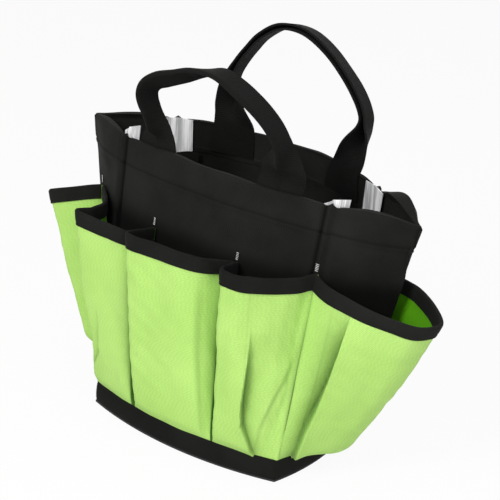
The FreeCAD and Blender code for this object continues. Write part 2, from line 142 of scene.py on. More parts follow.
def lay_cloth(
    name, columns, rows, place, closed=False, swell=None, thick=0.0012, shade_inside=False, painted_shade=None
):
    """Cloth laid where place(u, v) says, with u across it and v up it, both from 0 to 1.

    swell(u, v) moves it outwards along its own normal. Its UV map is in metres over the
    cloth. Its inner side can be marked for painted shade, a darker colour in place of the
    shadow inside a pocket, and a function of (u, v) can give it painted shade in folds and
    beside seams, from 0 to 1.
    """
    bpy.ops.object.select_all(action="DESELECT")
    bpy.ops.mesh.primitive_grid_add(x_subdivisions=columns, y_subdivisions=rows, size=1)
    piece = bpy.context.object
    piece.name = name
    mesh = piece.data
    flat = np.empty(len(mesh.vertices) * 3)
    mesh.vertices.foreach_get("co", flat)
    flat = flat.reshape(-1, 3)
    column = np.rint((flat[:, 0] + 0.5) * columns).astype(int)
    row = np.rint((flat[:, 1] + 0.5) * rows).astype(int)
    u, v = np.meshgrid(np.linspace(0, 1, columns + 1), np.linspace(0, 1, rows + 1))
    points = place(u, v)
    if swell is not None:
        over = np.gradient(points, axis=1)
        if closed:
            over[:, 0] = over[:, -1] = points[:, 1] - points[:, -2]
        up = np.gradient(points, axis=0)
        normal = np.cross(up, over)
        normal /= np.maximum(np.linalg.norm(normal, axis=-1, keepdims=True), 1e-12)
        points = points + normal * swell(u, v)[..., None]
    mesh.vertices.foreach_set("co", points[row, column].ravel())
    across = np.zeros_like(u)
    across[:, 1:] = np.cumsum(np.linalg.norm(np.diff(points, axis=1), axis=-1), axis=1)
    across -= across[:, columns // 2][:, None]
    up = np.zeros_like(u)
    up[1:] = np.cumsum(np.linalg.norm(np.diff(points, axis=0), axis=-1), axis=0)
    corners = np.empty(len(mesh.loops), np.int32)
    mesh.loops.foreach_get("vertex_index", corners)
    layer = mesh.uv_layers[0]
    uv = np.stack([across[row, column][corners], up[row, column][corners]], axis=-1)
    layer.data.foreach_set("uv", uv.ravel())
    # Painted shade in folds and beside seams, kept as a point attribute that darkens the colour.
    if painted_shade is not None:
        depths = painted_shade(u, v)[row, column].astype(np.float32)
        mesh.attributes.new("fold", "FLOAT", "POINT").data.foreach_set("value", depths)
    mesh.update()
    if closed:
        bpy.ops.object.mode_set(mode="EDIT")
        bpy.ops.mesh.select_all(action="SELECT")
        bpy.ops.mesh.remove_doubles(threshold=1e-6)
        bpy.ops.object.mode_set(mode="OBJECT")
    if thick:
        solid = piece.modifiers.new("thickness", "SOLIDIFY")
        solid.thickness = thick
        solid.offset = 0
        bpy.ops.object.modifier_apply(modifier=solid.name)
    # The inner side may be marked for painted shade, a darker colour in place of the shadow inside.
    if shade_inside:
        # One side of the thickened cloth keeps the first points, and the other gets the rest.
        first = np.empty(len(mesh.vertices) * 3)
        mesh.vertices.foreach_get("co", first)
        first = first.reshape(-1, 3)[: len(column)]
        outer_first = np.sum((first - points[row, column]) * normal[row, column]) > 0
        inner = np.zeros(len(mesh.vertices), np.float32)
        inner[: len(column)] = 0.0 if outer_first else 1.0
        inner[len(column) :] = 1.0 if outer_first else 0.0
        mesh.attributes.new("lining", "FLOAT", "POINT").data.foreach_set("value", inner)
    bpy.ops.object.shade_smooth_by_angle(angle=math.radians(50))
    return piece


def waves(u, v, seed, shortest, longest, count=7):
    """Uneven swell of soft cloth, about -1 to 1: waves of many directions over u and v."""
    random = np.random.RandomState(seed)
    total = 0.0
    for _ in range(count):
        angle = random.uniform(0, 2 * math.pi)
        step = 2 * math.pi / random.uniform(shortest, longest)
        turn = random.uniform(0, 2 * math.pi)
        total = total + np.sin((u * math.cos(angle) + v * math.sin(angle)) * step + turn)
    return total / math.sqrt(2 * count)


class Shade:
    """A socket of a material's nodes, with the maths that can be done on it."""

    def __init__(self, socket):
        self.socket = socket

    def node(self, kind, settings=None, inputs=None, output=0):
        """Adds a node: its settings first, then the values or links of its sockets."""
        tree = self.socket.id_data
        made = tree.nodes.new(kind)
        for name, value in (settings or {}).items():
            setattr(made, name, value)
        for name, value in (inputs or {}).items():
            if isinstance(value, Shade):
                tree.links.new(value.socket, made.inputs[name])
            else:
                made.inputs[name].default_value = value
        return Shade(made.outputs[output])

    def maths(self, operation, first, second=0.0):
        """Result of a math node over two values or links."""
        return self.node("ShaderNodeMath", {"operation": operation}, {0: first, 1: second})

    def __add__(self, other):
        return self.maths("ADD", self, other)

    __radd__ = __add__

    def __mul__(self, other):
        return self.maths("MULTIPLY", self, other)

    __rmul__ = __mul__

    def __truediv__(self, other):
        return self.maths("DIVIDE", self, other)

    def sine(self):
        return self.maths("SINE", self)

    def size(self):
        return self.maths("ABSOLUTE", self)

    def whole(self):
        return self.maths("FLOOR", self)

    def soft_step(self, low, high):
        """0 up to low, 1 from high."""
        return self.node(
            "ShaderNodeMapRange",
            {"interpolation_type": "SMOOTHSTEP"},
            {"Value": self, "From Min": low, "From Max": high},
        )

    def mix(self, first, second):
        """Colour that goes from first to second as this goes from 0 to 1."""
        return self.node(
            "ShaderNodeMix",
            {"data_type": "RGBA"},
            {0: self, 6: first, 7: second},
            output=2,
        )

    def noise(self, scale, detail=2.0, stretch=(1, 1, 1)):
        """Noise over this position, in steps per metre."""
        position = self.node("ShaderNodeMapping", None, {"Vector": self, "Scale": stretch})
        return self.node(
            "ShaderNodeTexNoise", None, {"Vector": position, "Scale": scale, "Detail": detail}
        )

    def parts(self):
        """Its three coordinates."""
        split = self.node("ShaderNodeSeparateXYZ", None, {"Vector": self})
        return [Shade(socket) for socket in split.socket.node.outputs]

    def relief(self, distance, strength=1.0):
        """Normal of a surface whose height this is, in steps of distance."""
        return self.node(
            "ShaderNodeBump", None, {"Height": self, "Distance": distance, "Strength": strength}
        )


def new_material(name):
    """Material with its Principled node, its cloth coordinates and its object coordinates."""
    material = bpy.data.materials.new(name)
    material.use_nodes = True
    shader = material.node_tree.nodes["Principled BSDF"]
    where = material.node_tree.nodes.new("ShaderNodeTexCoord")
    return material, shader, Shade(where.outputs["UV"]), Shade(where.outputs["Object"])


def feed(shader, **inputs):
    """Links or values for the Principled node's sockets."""
    for name, value in inputs.items():
        socket = shader.inputs[name.replace("_", " ")]
        if isinstance(value, Shade):
            shader.id_data.links.new(value.socket, socket)
        else:
            socket.default_value = value


def colour(red, green, blue):
    return (red, green, blue, 1.0)


# Any uneven numbers do here: they set each row of a weave on by an amount of its own.
ROW_TURN = 12.9898
ROW_SHIFT = 43.7


def weave(cloth, across, up):
    """Height of a weave, 0 to 1: rows of floats that are across long and up high."""
    over, along, _ = cloth.parts()
    row = (along / up).whole()
    shift = (row * ROW_TURN).sine() * ROW_SHIFT
    ridge = (along * (math.pi / up)).sine().size()
    crown = ((over / across + shift) * math.pi).sine().size()
    return ridge * (0.35 + 0.65 * crown)


def black_cloth(name, shade, across, up, depth):
    """Black woven polyester: matt and faintly sheened. It is lighter on the crowns of its threads,
    and lighter or darker in patches at random, which stand in for the soft highlights of its
    swells: a painted highlight. Where its fold attribute is set it is darkened nearly to black,
    a painted shade in folds, beside seams and behind the pockets.

    shade is its middle colour, across and up size its weave, and depth is its relief.
    """
    material, shader, cloth, place = new_material(name)
    threads = weave(cloth, across, up)
    # Patches of lighter and darker tone at random, standing in for the soft highlights of the
    # cloth's swells: a painted highlight.
    patches = place.noise(15, 3)
    tone = (0.5 * threads + 1.3 * patches).soft_step(0.5, 1.3)
    dark = colour(*(part * 0.72 for part in shade))
    light = colour(*(part * 1.75 for part in shade))
    # Painted shade: the fold attribute darkens the cloth nearly to black in folds, beside seams and
    # behind the pockets.
    fold = place.node("ShaderNodeAttribute", {"attribute_name": "fold"}, output=2)
    height = threads + 0.5 * place.noise(420, 2)
    feed(
        shader,
        Base_Color=fold.mix(tone.mix(dark, light), colour(0.001, 0.001, 0.001)),
        Roughness=0.7 + 0.14 * patches,
        Normal=height.relief(depth),
        Sheen_Weight=0.012,
        Sheen_Roughness=0.5,
        Specular_IOR_Level=0.05,
    )
    return material


body_black = black_cloth("body_black_weave", (0.0112, 0.0112, 0.0102), 0.0026, 0.0013, 0.00012)

HEM_DEPTH = 0.034
HEM_TURN = 0.0016
BODY_FOOT = 0.0023
CLOTH = 0.0012
# The rows of its mesh lie closer where it shows above the pockets and inside the rim.
ROW_SHARES = [0, 0.22, 0.78, 1]
CLOTH_SHARES = [0, 0.62, 0.92, 1]
pocket_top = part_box("front_right_binding")[1].z
ridge_foot = pocket_top - 0.008
hem_foot = rim - HEM_DEPTH
corner_runs = [0.0, front_run, half_run, half_run + front_run]


def to_corner(run):
    """Distance round the base to the nearest corner seam."""
    away = [np.abs((run - corner + half_run) % (2 * half_run) - half_run) for corner in corner_runs]
    return np.min(away, axis=0)


def body_height(v):
    """Height of a row of the body's cloth, as if its hem stood up above the rim."""
    return BODY_FOOT + np.interp(v, ROW_SHARES, CLOTH_SHARES) * (rim - BODY_FOOT + HEM_DEPTH)


def body_place(u, v):
    """Up the outside, over the rim and down the inside of the hem."""
    climb = rim - HEM_TURN - BODY_FOOT
    length = climb + math.pi * HEM_TURN + HEM_DEPTH
    s = np.interp(v, ROW_SHARES, CLOTH_SHARES) * length
    bend = np.clip((s - climb) / HEM_TURN, 0, math.pi)
    after = np.maximum(s - climb - math.pi * HEM_TURN, 0)
    height = BODY_FOOT + np.minimum(s, climb) + HEM_TURN * np.sin(bend) - after
    depth = HEM_TURN * (1 - np.cos(bend))
    return wall(u * 2 * half_run, height, -depth - CLOTH / 2)


def body_swell(u, v):
    """Soft waves, the hem's step and stitches, the corner ridges and the gussets' fullness."""
    run = u * 2 * half_run
    height = body_height(v)
    inside = height > rim
    height = np.where(inside, 2 * rim - height, height)
    share = np.clip((height - band_top) / (rim - band_top), 0, 1)
    nearest = to_corner(run)
    free = ease(nearest, 0.004, 0.03)
    soft = waves(run, height, 4, 0.06, 0.14) * 0.0034 + waves(run, height, 9, 0.02, 0.05) * 0.0005
    # Behind the pockets the cloth lies flat against them, and the double hem is stiffer.
    above = ease(height, pocket_top, pocket_top + 0.035)
    stiff_hem = 1 - 0.55 * ease(height, hem_foot - 0.012, hem_foot + 0.006)
    soft = soft * free * share * above * stiff_hem
    # The single cloth dips a little below the hem, and the hem at its stitches.
    step = ease(height, hem_foot - 0.003, hem_foot + 0.001) * 0.0011
    stitches = -0.0009 * bump(height - (hem_foot + 0.004), 0.0013)
    ridge = 0.0023 * bump(nearest, 0.0018) - 0.0012 * bump(nearest - 0.0055, 0.0025)
    ridge = ridge * ease(height, ridge_foot - 0.01, ridge_foot)
    # The rear half of the right gusset is fuller than the others.
    along = 2 * ((run % half_run) - front_run) / side_run - 1
    gusset = np.where(run % half_run > front_run, 1.0, 0.0)
    belly = gusset * share * np.sin(math.pi * np.clip(np.abs(along), 0, 1)) ** 2
    right_rear = (run > half_run + front_run) & (along < 0)
    full = 0.013 * ease(height, pocket_top, pocket_top + 0.045)
    fullness = np.where(right_rear, full, 0.0035 * above)
    moved = soft + (step + stitches) * free + belly * fullness
    return np.where(inside, -moved, moved + ridge)


def body_painted_shade(u, v):
    """Painted shade beside the corner seams, along the hem's stitches and behind the pockets."""
    run = u * 2 * half_run
    height = body_height(v)
    on_panel = np.where(run % half_run < front_run, 1.0, 0.1)
    outside = np.where(height > rim, 0.3, 1.0)
    seam = 0.85 * bump(to_corner(run) - 0.0046, 0.0024) * on_panel * outside
    stitches = 0.45 * bump(height - (hem_foot + 0.0035), 0.0013)
    behind = 0.75 * (1 - ease(height, pocket_top - 0.018, pocket_top + 0.006))
    return np.clip(seam + stitches + behind, 0, 1)


body = lay_cloth(
    "body_shell",
    480,
    98,
    body_place,
    closed=True,
    swell=body_swell,
    thick=CLOTH,
    painted_shade=body_painted_shade,
)
body.data.materials.append(body_black)
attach(body, "bag")
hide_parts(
    "front_panel",
    "rear_panel",
    "left_gusset",
    "right_gusset",
    "front_hem",
    "rear_hem",
    "left_hem",
    "right_hem",
)


# ---- Base --------------------------------------------------------------------------------
# A stiff plastic board lies on the black cloth floor. The band round the base is the same
# black cloth, folded under at its top edge and top-stitched, with a seam at every corner.

board_black, shader, _, place = new_material("board_black_plastic")
grain = place.noise(900, 2)
feed(
    shader,
    Base_Color=grain.soft_step(0.3, 0.7).mix(
        colour(0.016, 0.016, 0.017), colour(0.028, 0.028, 0.03)
    ),
    Roughness=0.42 + 0.16 * grain,
    Normal=grain.relief(0.00008),
)
frame["nodes"]["base_board"].data.materials.clear()
frame["nodes"]["base_board"].data.materials.append(board_black)

FLOOR_THREAD = 0.0013
floor_black, shader, _, place = new_material("floor_black_cloth")
x, y, _ = place.parts()
lengthwise = (x * (math.pi / FLOOR_THREAD)).sine().size()
crosswise = (y * (math.pi / FLOOR_THREAD)).sine().size()
threads = lengthwise * crosswise
feed(
    shader,
    Base_Color=threads.mix(colour(0.012, 0.012, 0.012), colour(0.025, 0.025, 0.025)),
    Roughness=0.8,
    Normal=threads.relief(0.0001),
)
frame["nodes"]["base_panel"].data.materials.clear()
frame["nodes"]["base_panel"].data.materials.append(floor_black)

band_black = black_cloth("band_black_weave", (0.0078, 0.0078, 0.0072), 0.0024, 0.0012, 0.0001)
TURNED_EDGE = 0.0011
EDGE_INSIDE = 0.006
band_out = band_high.x - SIDE_BOW - foot_half_length
band_length = band_top + 2 * TURNED_EDGE + EDGE_INSIDE


def band_place(u, v):
    """Up the outside from the floor, over the folded top edge and a little way down inside."""
    s = v * band_length
    bend = np.clip((s - band_top + TURNED_EDGE) / TURNED_EDGE, 0, math.pi)
    after = np.maximum(s - band_top + TURNED_EDGE - math.pi * TURNED_EDGE, 0)
    height = np.minimum(s, band_top - TURNED_EDGE) + TURNED_EDGE * np.sin(bend) - after
    depth = TURNED_EDGE * (1 - np.cos(bend))
    belly = 0.0009 * np.sin(math.pi * np.clip(height / band_top, 0, 1)) - 0.0006
    tuck = 0.0022 * (1 - ease(height, 0.0, 0.005))
    out = band_out - 0.0004 - depth + np.where(s > band_top, 0, belly - tuck)
    return wall(u * 2 * half_run, height, out)


def band_swell(u, v):
    """Slight waves on the band's outer face, its line of stitches and its corner seams."""
    run = u * 2 * half_run
    nearest = to_corner(run)
    outside = np.where(v < 0.78, 1.0, 0.0)
    soft = waves(run, v * 0.03, 21, 0.03, 0.09) * 0.0005 * ease(nearest, 0.003, 0.02)
    stitches = -0.00045 * bump(v * band_length - band_top + 0.0035, 0.0008)
    seam = -0.0007 * bump(nearest, 0.0014)
    return outside * (soft + stitches + seam)


band = lay_cloth(
    "base_band_cloth", 520, 26, band_place, closed=True, swell=band_swell, thick=0.0008
)
band.data.materials.append(band_black)
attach(band, "bag")
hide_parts("base_band")


# ---- Corner stays and sleeves ------------------------------------------------------------
# A strip of milky ribbed plastic, bent into an angle, stands in each corner and slides down
# into a sleeve of black cloth. Its top was cut by hand and stands a little above the rim.

stay_white, shader, cloth, place = new_material("stay_milky_plastic")
over, along, _ = cloth.parts()
streaks = place.noise(150, 3, (1, 1, 0.06))
ribs = (over * (math.pi / 0.0022)).sine().size()
feed(
    shader,
    Base_Color=(0.92 * streaks + 0.08 * ribs).soft_step(0.36, 0.6).mix(
        colour(0.45, 0.45, 0.46), colour(0.95, 0.95, 0.95)
    ),
    Roughness=0.36 + 0.2 * streaks,
    Normal=(0.3 * ribs + streaks).relief(0.0002),
)

STAY_DEPTH = 0.0056
SLEEVE_DEPTH = STAY_DEPTH + 0.0014
SLEEVE_LEG = 0.022
STAYS = [
    # corner, its run, leg before and after it, top above the rim before, at and after it
    ("front_right", 0.0, 0.014, 0.009, 0.0095, 0.005, -0.001),
    ("front_left", front_run, 0.016, 0.008, 0.0155, 0.0085, 0.003),
    ("rear_left", half_run, 0.013, 0.015, 0.001, 0.0015, 0.001),
    ("rear_right", half_run + front_run, 0.014, 0.013, 0.002, 0.003, 0.002),
]
stay_foot = board_high.z + SEW_GAP
for name, corner, before, after, top_before, top_at, top_after in STAYS:

    def stay_place(u, v):
        run = corner - before + u * (before + after)
        top = rim + np.interp(
            run, [corner - before, corner, corner + after], [top_before, top_at, top_after]
        )
        return wall(run, stay_foot + v * (top - stay_foot), -STAY_DEPTH)

    def stay_swell(u, v):
        return waves(u * 0.03, v * 0.3, 5, 0.05, 0.12) * 0.0003

    stay = lay_cloth(f"{name}_corner_stay", 24, 60, stay_place, swell=stay_swell, thick=0.001)
    stay.data.materials.append(stay_white)
    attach(stay, "bag")
    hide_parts(f"{name}_stay")

    sleeve_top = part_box(f"{name}_sleeve")[1].z

    def sleeve_place(u, v):
        run = corner + (2 * u - 1) * SLEEVE_LEG
        top = sleeve_top + 0.003 * np.sin(u * 5 + corner * 9)
        return wall(run, stay_foot + v * (top - stay_foot), -SLEEVE_DEPTH)

    def sleeve_swell(u, v):
        return waves(u * 0.05, v * 0.26, 12, 0.03, 0.08) * 0.0006 - 0.0004

    sleeve = lay_cloth(
        f"{name}_corner_sleeve", 24, 60, sleeve_place, swell=sleeve_swell, thick=0.0008
    )
    sleeve.data.materials.append(body_black)
    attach(sleeve, "bag")
    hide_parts(f"{name}_sleeve")


# ---- Pockets and their bindings ----------------------------------------------------------
# Eight outer pockets of lime green polyester go round the body. Each is pleated into the
# band at its foot, sewn down to the body at both sides and flares out to a wide mouth that
# is bound in black tape, folded over the edge and stitched through.

pocket_green, shader, cloth, place = new_material("pocket_lime_weave")
threads = weave(cloth, 0.0046, 0.0019)
patches = place.noise(16, 3)
tone = (0.55 * threads + 0.9 * patches).soft_step(0.2, 1.3)
outside = tone.mix(colour(0.375, 0.63, 0.137), colour(0.51, 0.785, 0.215))
# Painted shade: the inner side of the pockets is a darker green in place of the shadow inside them.
lining = place.node("ShaderNodeAttribute", {"attribute_name": "lining"}, output=2)
fold = place.node("ShaderNodeAttribute", {"attribute_name": "fold"}, output=2)
# Painted shade: the fold attribute darkens the outside towards deep green in folds, beside seams
# and behind creases.
outside = fold.mix(outside, colour(0.02, 0.085, 0.002))
feed(
    shader,
    Base_Color=lining.mix(outside, colour(0.09, 0.34, 0.002)),
    Roughness=0.62 + 0.12 * patches,
    Normal=(threads + 0.4 * place.noise(380, 2)).relief(0.0002),
    Sheen_Weight=0.05,
    Sheen_Roughness=0.5,
    Specular_IOR_Level=0.15,
)

tape_black = black_cloth("binding_black_tape", (0.0098, 0.0098, 0.0092), 0.0016, 0.0011, 0.00012)

# Way out from the body at which a pocket's cloth lies against it.
HUG = 0.0014
# Edges of neighbours stand this far from their seam, or lap over each other at a corner.
EDGE_GAP = 0.0004
LAP = 0.0014
TAPE_WIDTH = 0.017
TAPE_TURN = 0.0016
TAPE_INSET = 0.012
# About how wide and high a pocket's cloth is, for creases, stitches and waves of real size.
CLOTH_WIDTH = 0.2
CLOTH_HEIGHT = 0.23
mouth_height = pocket_top + 0.003
pocket_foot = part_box("front_right_pocket")[0].z
# Where the first four seams between the pockets lie round the base, at the foot and at the
# mouth, and how much lower the mouth is there. The other four repeat them.
FOOT_SEAMS = [0.0, 0.070, 0.174, 0.285]
MOUTH_SEAMS = [0.0, 0.079, 0.180, 0.285]
SEAM_DROPS = [0.0, 0.012, 0.009, 0.004]
seam_feet = FOOT_SEAMS + [half_run + seam for seam in FOOT_SEAMS] + [2 * half_run]
seam_tops = MOUTH_SEAMS + [half_run + seam for seam in MOUTH_SEAMS] + [2 * half_run]

# The mouth of each kind, in millimetres from the seam where the pocket starts to the seam
# where it ends: share of the pocket's foot, way along that line, and way out from it.
WEDGE = [
    (0.06, 6, 7), (0.15, 13, 20), (0.36, 35, 40),
    (0.62, 57, 55), (0.82, 74, 54), (0.95, 85, 44),
]
SQUARE = [
    (0.03, 10, 20), (0.08, 16, 33), (0.14, 25, 41), (0.34, 43, 47),
    (0.55, 64, 48), (0.72, 81, 51), (0.84, 95, 53), (0.94, 108, 45),
]
HOOD = [
    (0.04, -10, 34), (0.2, 16, 49), (0.4, 45, 61), (0.5, 57, 64),
    (0.56, 59, 54), (0.66, 60, 42), (0.8, 74, 20),
]
TIP = [
    (0.03, -14, 4), (0.09, -33, 14), (0.18, -51, 25), (0.26, -48, 34),
    (0.42, -29, 39), (0.62, -8, 34), (0.84, 46, 24), (0.93, 68, 12),
]
FLARE = [
    (0.08, -10, 16), (0.12, -16, 31), (0.17, -17, 59), (0.22, -13, 83), (0.27, -4, 94),
    (0.34, 18, 95), (0.45, 37, 81), (0.57, 56, 64), (0.7, 71, 44), (0.84, 84, 23),
]
# In their order round the bag: place, mouth, fall of the mouth at its outermost, and how the
# cloth flares: its belly just above the band as a share of the mouth's, power of the rest,
# and how far the belly hangs down.
POCKETS = [
    ("front_right", WEDGE, 0.0, 0.05, 0.75, 0.0),
    ("front_left", SQUARE, 0.0, 0.05, 0.75, 0.0),
    ("left_front", HOOD, 0.004, 0.03, 0.75, 0.0),
    ("left_rear", TIP, 0.025, 0.6, 1.3, 0.006),
    ("rear_left", WEDGE, 0.0, 0.05, 0.75, 0.0),
    ("rear_right", SQUARE, 0.0, 0.05, 0.75, 0.0),
    ("right_rear", HOOD, 0.004, 0.1, 0.75, 0.004),
    ("right_front", FLARE, 0.016, 0.17, 0.76, 0.008),
]
# Creases of each pocket: the line of each as (height, way across) shares of the cloth, the
# side of it where the cloth falls back (1 towards the pocket's end), how far it stands out
# before the line and falls back behind it, and how wide.
CREASES = {
    "front_right": [
        (
            [(0.1, 0.33), (0.17, 0.38), (0.26, 0.453), (0.36, 0.46), (0.59, 0.435), (0.68, 0.43)],
            -1, 0.006, 0.008, 0.02,
        ),
        (
            [(0.14, 0.31), (0.24, 0.285), (0.38, 0.2), (0.53, 0.1), (0.62, 0.04)],
            -1, 0.0, 0.003, 0.012,
        ),
    ],
    "front_left": [([(0.13, 0.23), (0.5, 0.26), (0.85, 0.25)], -1, 0.0, 0.003, 0.03)],
    "left_front": [
        ([(0.13, 0.6), (0.16, 0.58), (0.31, 0.455), (0.48, 0.44)], 1, 0.001, 0.008, 0.01),
    ],
    "right_front": [
        (
            [(0.1, 0.87), (0.22, 0.847), (0.38, 0.812), (0.58, 0.788), (0.75, 0.776), (0.9, 0.776)],
            1, 0.008, 0.01, 0.024,
        ),
    ],
    "rear_left": [([(0.13, 0.31), (0.27, 0.4), (0.5, 0.42)], -1, 0.002, 0.005, 0.02)],
    "right_rear": [([(0.13, 0.5), (0.3, 0.45), (0.5, 0.44)], 1, 0.002, 0.005, 0.015)],
    "rear_right": [([(0.13, 0.7), (0.3, 0.66), (0.6, 0.67)], 1, 0.001, 0.004, 0.02)],
    "left_rear": [([(0.13, 0.7), (0.3, 0.66), (0.6, 0.64)], 1, 0.001, 0.004, 0.02)],
}
# A crease that falls back no more than this is a soft one: its step and its painted shade
# are wider, this many times. One that falls back this far gets its painted shade in full.
SOFT_CREASE = 0.004
SOFT_STEP = 4.0
SOFT_SHADE = 5.0
FULL_CREASE = 0.009
# How far from the seam where it starts a pocket's cloth gets painted shade in full, and how
# far that painted shade reaches beyond.
PLAIN_SEAM_SHADE = (0.0, 0.006)
PAINTED_SEAM_SHADE = {
    "front_right": (0.0, 0.003),
    "front_left": (0.014, 0.006),
    "left_front": (0.031, 0.008),
}


def smooth_path(points, count=400):
    """Even steps along a smooth curve through points (value, x, y, other values)."""
    points = np.array(points, float)
    ends = np.vstack([2 * points[0] - points[1], points, 2 * points[-1] - points[-2]])
    path = []
    for p0, p1, p2, p3 in zip(ends, ends[1:], ends[2:], ends[3:]):
        t = np.linspace(0, 1, 40, endpoint=False)[:, None]
        path.append(
            0.5 * (2 * p1 + (p2 - p0) * t + (2 * p0 - 5 * p1 + 4 * p2 - p3) * t**2
                   + (3 * p1 - p0 - 3 * p2 + p3) * t**3)
        )
    path = np.vstack(path + [points[-1:]])
    length = np.r_[0, np.cumsum(np.linalg.norm(np.diff(path[:, 1:3], axis=0), axis=1))]
    even = np.linspace(0, length[-1], count)
    return np.stack([np.interp(even, length, path[:, i]) for i in range(path.shape[1])], axis=-1)


for order, (name, mouth, fall, belly, power, hang) in enumerate(POCKETS):
    # Neighbours lie edge to edge at a seam, and lap over each other at the front right and
    # rear left corners.
    gaps = [
        (order, -LAP if order % 4 == 0 else EDGE_GAP),
        (order + 1, LAP if order % 4 == 3 else -EDGE_GAP),
    ]
    tops = [seam_tops[seam] + gap for seam, gap in gaps]
    first = wall(tops[0], mouth_height, HUG)
    last = wall(tops[1], mouth_height, HUG)
    along = (last - first) / np.linalg.norm(last - first)
    outward = np.array([-along[1], along[0], 0.0])
    span = np.linalg.norm(last - first) * 1000
    curve = smooth_path([(0, 0, 0)] + mouth + [(1, span, 0)])
    curve[:, 1:] /= 1000
    reach = curve[:, 2].max()
    steps = np.linspace(0, 1, len(curve))

    def pocket_point(u, height):
        """Point of the pocket's middle layer, u along its mouth and at a height of its cloth."""
        share, way, out = (np.interp(u, steps, curve[:, part]) for part in range(3))
        rise = np.clip((height - band_top) / (mouth_height - band_top), 0, 1)
        ends = []
        for seam, gap in gaps:
            ends.append(seam_feet[seam] + (seam_tops[seam] - seam_feet[seam]) * rise + gap)
        drops = [SEAM_DROPS[seam % 4] for seam, gap in gaps]
        lowered = (drops[0] + (drops[1] - drops[0]) * u) * rise**3 * (1 - out / reach)
        close = wall(ends[0] + (ends[1] - ends[0]) * share, height - lowered, HUG)
        top = wall(tops[0] + (tops[1] - tops[0]) * share, mouth_height, HUG)
        far = first + along * way[..., None] + outward * out[..., None]
        flare = belly * ease(rise, 0, 0.05 + 0.15 * belly) + (1 - belly) * rise**power
        point = close + (far - top) * flare[..., None]
        drop = fall * rise + hang * bump(rise - 0.06, 0.08) * ease(rise, 0, 0.03)
        point[..., 2] = close[..., 2] - drop * out / reach
        return point

    def pocket_place(u, v):
        return pocket_point(u, pocket_foot + v * (mouth_height - 0.0012 - pocket_foot))

    def beside_crease(u, v, line, side):
        """Way from a crease to the side where the cloth falls back, and how strong it is."""
        heights, ways = zip(*line)
        beside = (u - np.interp(v, heights, ways)) * CLOTH_WIDTH * side
        start = ease(v, heights[0] - 0.04, heights[0] + 0.04)
        return beside, start * (1 - ease(v, heights[-1] - 0.22, heights[-1] + 0.1))

    def pocket_painted_shade(u, v):
        """Painted shade along the seams at both ends of the cloth and behind its creases."""
        shade = bump((1 - u) * CLOTH_WIDTH, 0.0026) * ease(v, 0.06, 0.12)
        fully_shaded_width, gap_shade = PAINTED_SEAM_SHADE.get(name, PLAIN_SEAM_SHADE)
        narrow = 0.25 + 0.75 * ease(v, 0.1, 0.5)
        beside = np.maximum(u * CLOTH_WIDTH - fully_shaded_width, 0) / (gap_shade * narrow)
        shade = shade + 0.95 * np.exp(-beside) * (1 - 0.7 * ease(v, 0.74, 0.92))
        for line, side, stands_out, falls_back, width in CREASES[name]:
            beside, fade = beside_crease(u, v, line, side)
            soften = 1.0 if falls_back > SOFT_CREASE else SOFT_SHADE
            behind = ease(beside, -0.0012 * soften, 0.0008 * soften)
            behind = behind * np.exp(-np.maximum(beside, 0) / (0.5 * width))
            shade = shade + min(falls_back / FULL_CREASE, 1) * 0.75 * behind * fade
        return np.clip(shade, 0, 1)

    def pocket_swell(u, v):
        """Soft waves where the cloth is free, and its creases."""
        height = pocket_foot + v * (mouth_height - pocket_foot)
        free = ease(height, band_top, band_top + 0.03)
        free = free * (1 - ease(height, mouth_height - 0.03, mouth_height - 0.014))
        edge = ease(u, 0.0, 0.1) * (1 - ease(u, 0.9, 1.0))
        soft = waves(u * CLOTH_WIDTH, v * CLOTH_HEIGHT, 30 + order, 0.05, 0.12) * 0.0016
        fine = waves(u * CLOTH_WIDTH, v * CLOTH_HEIGHT, 60 + order, 0.015, 0.04) * 0.00045
        room = ease(v, 0.12, 0.4)
        creases = 0.0
        for line, side, stands_out, falls_back, width in CREASES[name]:
            beside, fade = beside_crease(u, v, line, side)
            soften = 1.0 if falls_back > SOFT_CREASE else SOFT_STEP
            back = ease(beside, -0.0012 * soften, 0.0022 * soften)
            back = back * np.exp(-np.maximum(beside, 0) / width)
            lip = ease(-beside, -0.0022, 0.0012) * np.exp(np.minimum(beside, 0) / width)
            creases = creases + (stands_out * lip - falls_back * room * back) * fade
        return (soft + fine) * free * edge + creases

    pocket = lay_cloth(
        f"{name}_pocket_cloth",
        170,
        100,
        pocket_place,
        swell=pocket_swell,
        thick=0.0011,
        shade_inside=True,
        painted_shade=pocket_painted_shade,
    )
    pocket.data.materials.append(pocket_green)
    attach(pocket, "bag")
    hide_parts(f"{name}_pocket")

    def binding_place(u, v):
        """Up the outside of the cloth, over its edge and down the inside."""
        drop = TAPE_WIDTH - TAPE_TURN
        s = v * (2 * drop + math.pi * TAPE_TURN)
        bend = np.clip((s - drop) / TAPE_TURN, 0, math.pi)
        after = np.maximum(s - drop - math.pi * TAPE_TURN, 0)
        height = mouth_height - TAPE_WIDTH + np.minimum(s, drop) + TAPE_TURN * np.sin(bend) - after
        u = TAPE_INSET + (1 - 2 * TAPE_INSET) * u
        middle = pocket_point(u, height)
        before = pocket_point(np.clip(u - 0.002, 0, 1), height)
        beyond = pocket_point(np.clip(u + 0.002, 0, 1), height)
        above = pocket_point(u, height + 0.001) - middle
        normal = np.cross(beyond - before, above)
        normal /= np.linalg.norm(normal, axis=-1, keepdims=True)
        return middle - normal * (TAPE_TURN * np.cos(bend))[..., None]

    def binding_swell(u, v):
        """Slight waves, and a line of stitches near each edge of the tape."""
        edge = ease(u, 0.0, 0.05) * (1 - ease(u, 0.95, 1.0))
        soft = waves(u * CLOTH_WIDTH, v * 0.04, 90 + order, 0.02, 0.06) * 0.0004 * edge
        stitches = -0.0004 * (bump(v - 0.09, 0.025) + bump(v - 0.91, 0.025))
        return soft * np.where(v < 0.5, 1, -1) + stitches

